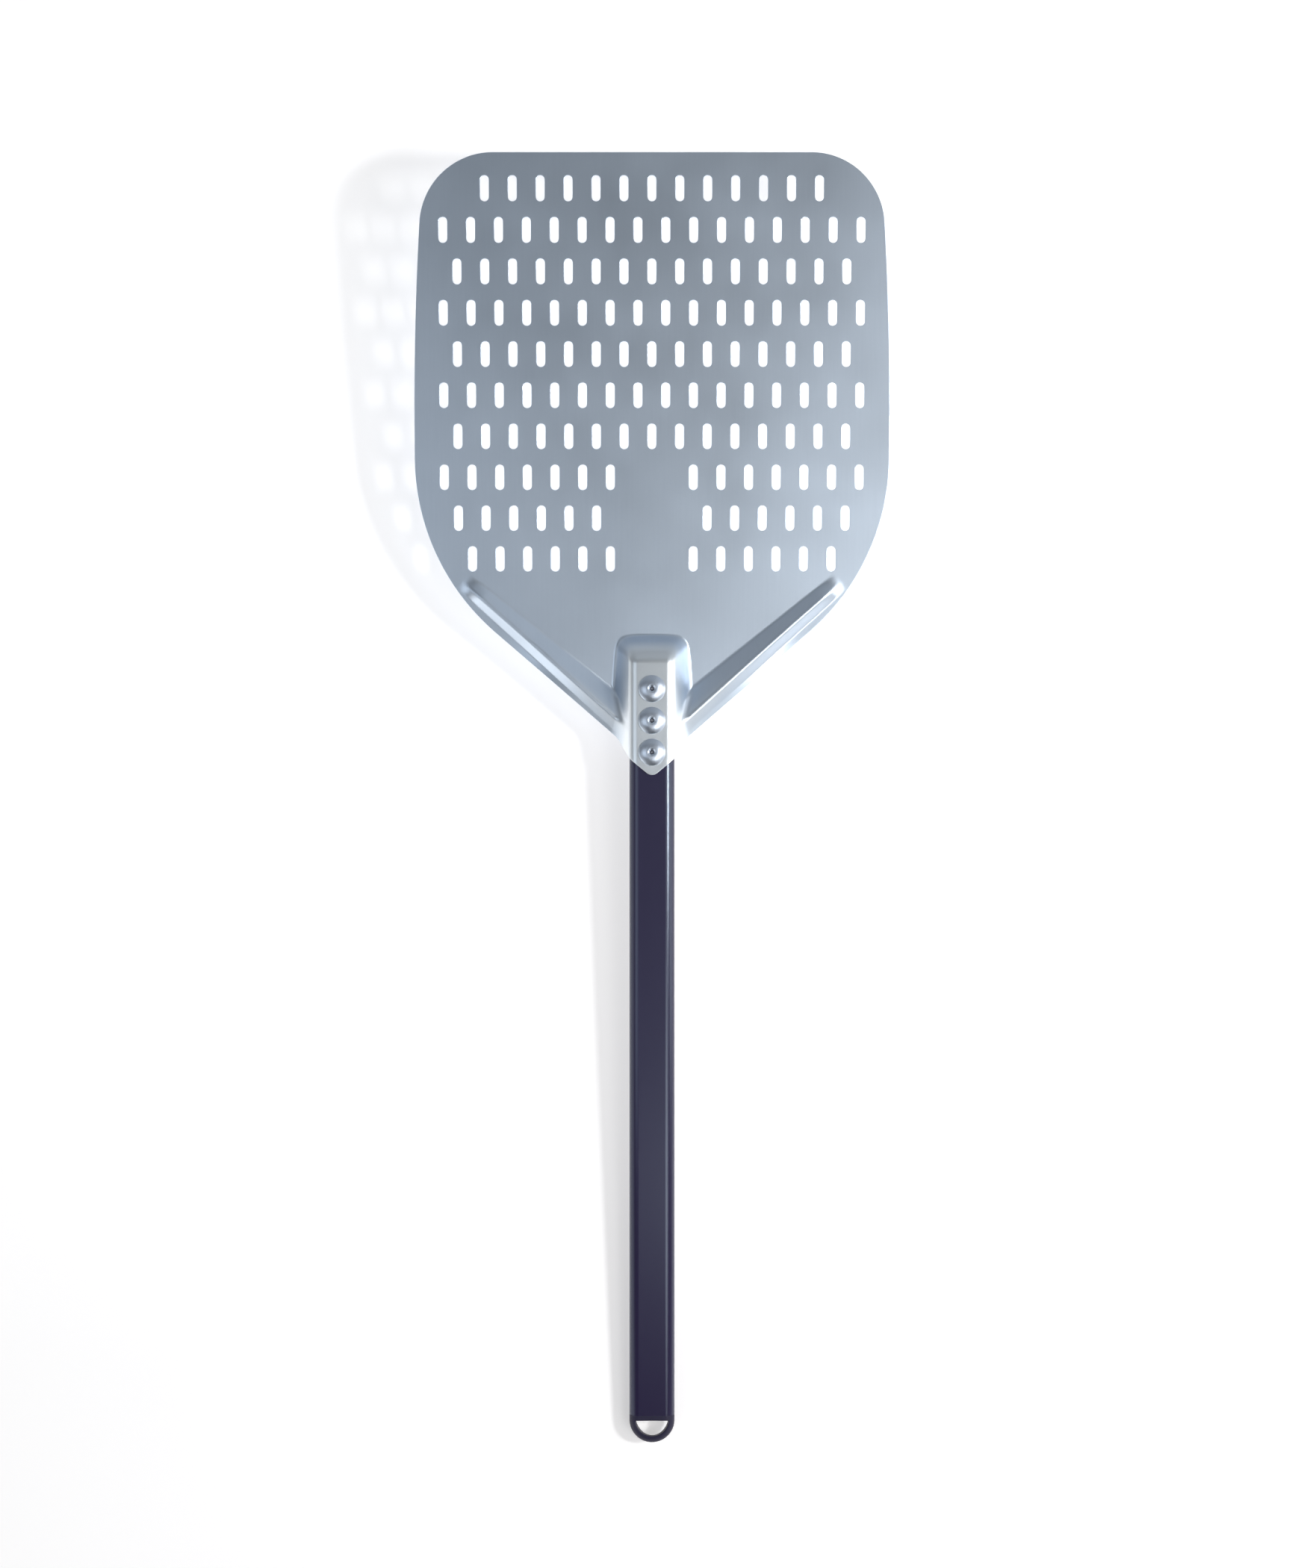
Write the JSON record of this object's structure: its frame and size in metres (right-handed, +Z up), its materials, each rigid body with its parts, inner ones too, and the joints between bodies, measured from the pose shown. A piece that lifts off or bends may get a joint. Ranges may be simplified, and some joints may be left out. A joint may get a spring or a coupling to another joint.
{
  "type": "pizza peel",
  "caption": "Slotted metal pizza peel: flat perforated blade with a raised hood and ribs, riveted to a flat-oval handle tube that ends in a hanging loop.",
  "frame": {"origin": "centre of the footprint of the whole peel, on the plane of the blade's flat underside", "axes": "+Y along the peel towards the blade's front edge, +Z up out of the blade's top face, +X across; the handle runs towards -Y and climbs 5 degrees"},
  "size_m": [0.331, 0.895, 0.0632],
  "materials": {
    "blade_aluminium": "satin bluish anodised",
    "handle_anodised": "satin dark navy anodised",
    "cap_plastic": "fine matte moulded",
    "rivet_aluminium": "polished satin",
    "mandrel_steel": "dull"
  },
  "bodies": {
    "root": {"blade": "blade_aluminium", "handle_tube": "handle_anodised", "end_cap": "cap_plastic", "rivet_front": "rivet_aluminium", "rivet_middle": "rivet_aluminium", "rivet_rear": "rivet_aluminium", "mandrel_front": "mandrel_steel", "mandrel_middle": "mandrel_steel", "mandrel_rear": "mandrel_steel"}
  },
  "joints": []
}
